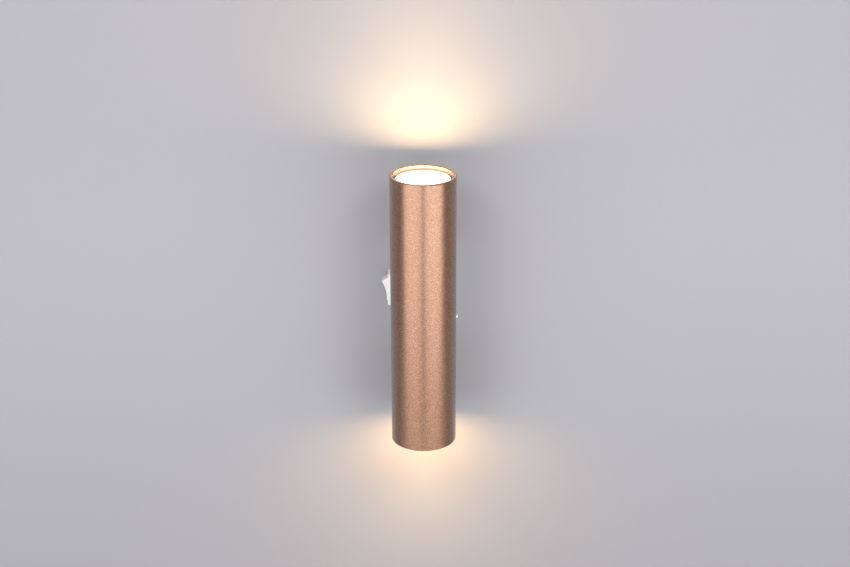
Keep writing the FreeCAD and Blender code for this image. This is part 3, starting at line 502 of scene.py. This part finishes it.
SPRING_TOP = Vector((-32.23, -13.0, 2.444)) * MM
SPRING_END = Vector((-27.77, -13.0, 3.556)) * MM
SPRING_END_GAP = 0.22 * MM


def add_spring(finish):
    """The coil spring round the plunger, in the rocker's bore."""
    recipe = Recipe("switch_coil")
    wire = recipe.size("Wire radius", 0.2 * MM)
    radius = recipe.size("Coil radius", 1.4 * MM)
    length = SPRING_END - SPRING_TOP
    coil = recipe.add("GeometryNodeCurveSpiral", {}, {
        "Resolution": recipe.size("Steps a turn", 28), "Rotations": recipe.size("Turns", 6.0),
        "Start Radius": radius, "End Radius": radius,
        "Height": recipe.size("Length", length.length - 2 * SPRING_END_GAP)})
    ring = recipe.add("GeometryNodeCurvePrimitiveCircle", {}, {"Resolution": 10, "Radius": wire})
    sweep = recipe.add("GeometryNodeCurveToMesh", {}, {
        "Curve": coil, "Profile Curve": ring, "Fill Caps": True})
    shape = recipe.paint(recipe.whole(recipe.add("GeometryNodeSetShadeSmooth", {}, {
        "Geometry": sweep})), finish)
    aim = length.to_track_quat("Z", "Y").to_matrix().to_4x4()
    start = SPRING_TOP + length.normalized() * SPRING_END_GAP
    spring = recipe.make("switch_coil_spring", shape, Matrix.Translation(start) @ aim)
    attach(spring, "rocker")
    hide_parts("switch_spring")


# ---------------------------------------------------------------- stage and light

WALL_COLOUR = (0.402, 0.397, 0.420)
# Share of the wall colour left at the bottom: painted shade, darker down the wall as the light from
# above falls off.
WALL_PAINTED_SHADE_SHARE = 0.80
WALL_Y = 0.0004
WALL_HALF_WIDTH = 4.0
WALL_TOP = 2.4
MIRROR_REACH = 0.003
FLOOR_Z = -1.1
FLOOR_REACH = 9.0
FLOOR_LIFT = 0.52
WORLD_LIGHT = (0.055, 0.055, 0.057)
WORLD_SEEN = (0.50, 0.50, 0.512)
SEEN_RAYS = ("Is Camera Ray", "Is Glossy Ray", "Is Transmission Ray")


def flat_sheet(name, corners):
    mesh = bpy.data.meshes.new(name)
    mesh.from_pydata(corners, [], [tuple(range(len(corners)))])
    sheet = bpy.data.objects.new(name, mesh)
    bpy.context.scene.collection.objects.link(sheet)
    return sheet


def add_wall():
    """The wall, seen from the front only, so that views from behind show the fixture's back.

    What the fixture's back mirrors passes through it too."""
    x, y = WALL_HALF_WIDTH, WALL_Y
    wall = flat_sheet("stage_wall", [(-x, y, FLOOR_Z), (x, y, FLOOR_Z), (x, y, WALL_TOP),
                                     (-x, y, WALL_TOP)])
    finish = Finish("wall_matt", Roughness=0.9, Specular_IOR_Level=0.1)
    tone = finish.cloud(0.5, detail=2.0)
    roller = finish.cloud(0.004, detail=2.0)
    # Painted shade: the wall's colour grows darker towards the bottom, standing in for light that
    # falls off down the wall.
    height = finish.ramp(finish.part("Z"), -0.45, 0.10)
    low = tuple(c * WALL_PAINTED_SHADE_SHARE for c in WALL_COLOUR)
    finish.give(Base_Color=finish.mix(height + (tone - 0.5) * 0.1, low, WALL_COLOUR))
    finish.relief(roller, 0.00004, 0.3)
    back = finish.add("ShaderNodeNewGeometry", output="Backfacing")
    shadow = finish.add("ShaderNodeLightPath", output="Is Shadow Ray")
    bounce = finish.add("ShaderNodeLightPath", output="Is Diffuse Ray")
    near = finish.add("ShaderNodeLightPath", output="Ray Length") < MIRROR_REACH
    clear = finish.add("ShaderNodeBsdfTransparent")
    seen = finish.add("ShaderNodeMixShader", {}, {
        0: back.above(shadow).above(bounce).above(near),
        1: Value(finish, finish.shader.outputs[0]), 2: clear})
    finish.put(finish.output.inputs["Surface"], seen)
    wall.data.materials.append(finish.material)


def add_floor():
    """A pale floor, lifted a little where it is seen or mirrored."""
    corners = ((-1, -1), (1, -1), (1, 1), (-1, 1))
    floor = flat_sheet("stage_floor", [
        (x * FLOOR_REACH, y * FLOOR_REACH, FLOOR_Z) for x, y in corners])
    finish = Finish("floor_matt", Roughness=0.85, Specular_IOR_Level=0.1)
    tone = finish.cloud(0.3, detail=3.0)
    colour = finish.mix(tone, (0.58, 0.58, 0.585), (0.62, 0.62, 0.625))
    finish.give(Base_Color=colour)
    seen, glossy, through = (finish.add("ShaderNodeLightPath", output=ray) for ray in SEEN_RAYS)
    lift = finish.add("ShaderNodeEmission", {}, {"Color": colour, "Strength": FLOOR_LIFT})
    both = finish.add("ShaderNodeAddShader", {}, {
        0: Value(finish, finish.shader.outputs[0]), 1: lift})
    finish.put(finish.output.inputs["Surface"], finish.add("ShaderNodeMixShader", {}, {
        0: seen.above(glossy).above(through), 1: Value(finish, finish.shader.outputs[0]), 2: both}))
    floor.data.materials.append(finish.material)


def add_world():
    """Pale where it is seen or mirrored, softer as light."""
    world = bpy.data.worlds.new("studio")
    world.use_nodes = True
    tree = world.node_tree
    background = next(n for n in tree.nodes if n.type == "BACKGROUND")
    path = tree.nodes.new("ShaderNodeLightPath")
    seen = path.outputs[SEEN_RAYS[0]]
    for other in SEEN_RAYS[1:]:
        either = tree.nodes.new("ShaderNodeMath")
        either.operation = "MAXIMUM"
        tree.links.new(seen, either.inputs[0])
        tree.links.new(path.outputs[other], either.inputs[1])
        seen = either.outputs[0]
    tone = tree.nodes.new("ShaderNodeMix")
    tone.data_type = "RGBA"
    tree.links.new(seen, tone.inputs[0])
    tone.inputs[6].default_value = (*WORLD_LIGHT, 1.0)
    tone.inputs[7].default_value = (*WORLD_SEEN, 1.0)
    tree.links.new(tone.outputs[2], background.inputs["Color"])
    bpy.context.scene.world = world


def add_light(kind, name, at, towards, power, colour=(1, 1, 1), **settings):
    data = bpy.data.lights.new(name, kind)
    data.energy = power
    data.color = colour
    for setting, value in settings.items():
        setattr(data, setting, value)
    light = bpy.data.objects.new(name, data)
    turn = (Vector(towards) - Vector(at)).to_track_quat("-Z", "Y")
    light.matrix_world = Matrix.Translation(at) @ turn.to_matrix().to_4x4()
    light.visible_camera = False
    bpy.context.scene.collection.objects.link(light)
    return light


SOFTBOX_AZIMUTH = math.radians(36.2)
SOFTBOX_DISTANCE = 1.8
SOFTBOX_LOW = -0.88
SOFTBOX_HIGH = 0.22
SOFTBOX_WIDTH = 2.23
SOFTBOX_POWER = (21.6, 23.4)
STRIP_AZIMUTH = math.radians(33)
STRIP_HEIGHT = math.radians(40)
STRIP_DISTANCE = 2.3
STRIP_POWER = 11.5
STRIP_SIZE = (0.70, 0.60)
LAMP_COLOURS = ((1.0, 0.63, 0.25), (1.0, 0.58, 0.19))
LAMP_WIDE_POWER = 0.27
LAMP_BEAM_POWER = 1.02
LAMP_BEAM_ANGLE = math.radians(88)


def add_side_lights(name, side, power):
    """A wide softbox at the fixture's height and a smaller strip above it."""
    middle = (SOFTBOX_LOW + SOFTBOX_HIGH) / 2
    x = side * SOFTBOX_DISTANCE * math.sin(SOFTBOX_AZIMUTH)
    y = AXIS_Y - SOFTBOX_DISTANCE * math.cos(SOFTBOX_AZIMUTH)
    add_light("AREA", "softbox_" + name, (x, y, middle), (0, AXIS_Y, middle), power,
              shape="RECTANGLE", size=SOFTBOX_WIDTH, size_y=SOFTBOX_HIGH - SOFTBOX_LOW)
    across = STRIP_DISTANCE * math.cos(STRIP_HEIGHT)
    x = side * across * math.sin(STRIP_AZIMUTH)
    y = AXIS_Y - across * math.cos(STRIP_AZIMUTH)
    add_light("AREA", "strip_" + name, (x, y, STRIP_DISTANCE * math.sin(STRIP_HEIGHT)),
              (0, AXIS_Y, 0), STRIP_POWER, shape="RECTANGLE", size=STRIP_SIZE[0],
              size_y=STRIP_SIZE[1])


def add_lamp_lights(name, side, colour):
    """The light of one lit lamp: a wide glow and a beam, both from its lens."""
    face = side * (LAMP_FACE + 0.6 * MM)
    add_light("AREA", name + "_wide", (0, AXIS_Y, face), (0, AXIS_Y, side), LAMP_WIDE_POWER, colour,
              shape="DISK", size=0.046)
    add_light("SPOT", name + "_beam", (0, AXIS_Y, face), (0, AXIS_Y, side), LAMP_BEAM_POWER, colour,
              shadow_soft_size=0.018, spot_size=LAMP_BEAM_ANGLE, spot_blend=1.0)


def add_lights():
    for name, side, power in zip(("left", "right"), (-1, 1), SOFTBOX_POWER):
        add_side_lights(name, side, power)
    add_light("AREA", "softbox_top", (0, -1.0, 2.3), (0, 0, 0), 14.0,
              shape="RECTANGLE", size=1.6, size_y=1.2)
    add_light("AREA", "softbox_back", (0, 2.4, 0.7), (0, 0, 0), 12.0,
              shape="RECTANGLE", size=0.8, size_y=1.2)
    for name, side, colour in zip(("lamp_up", "lamp_down"), (1, -1), LAMP_COLOURS):
        add_lamp_lights(name, side, colour)


add_camera()
dress_nodes()
add_wall()
add_floor()
add_world()
add_lights()
bpy.context.scene.view_settings.view_transform = "Standard"
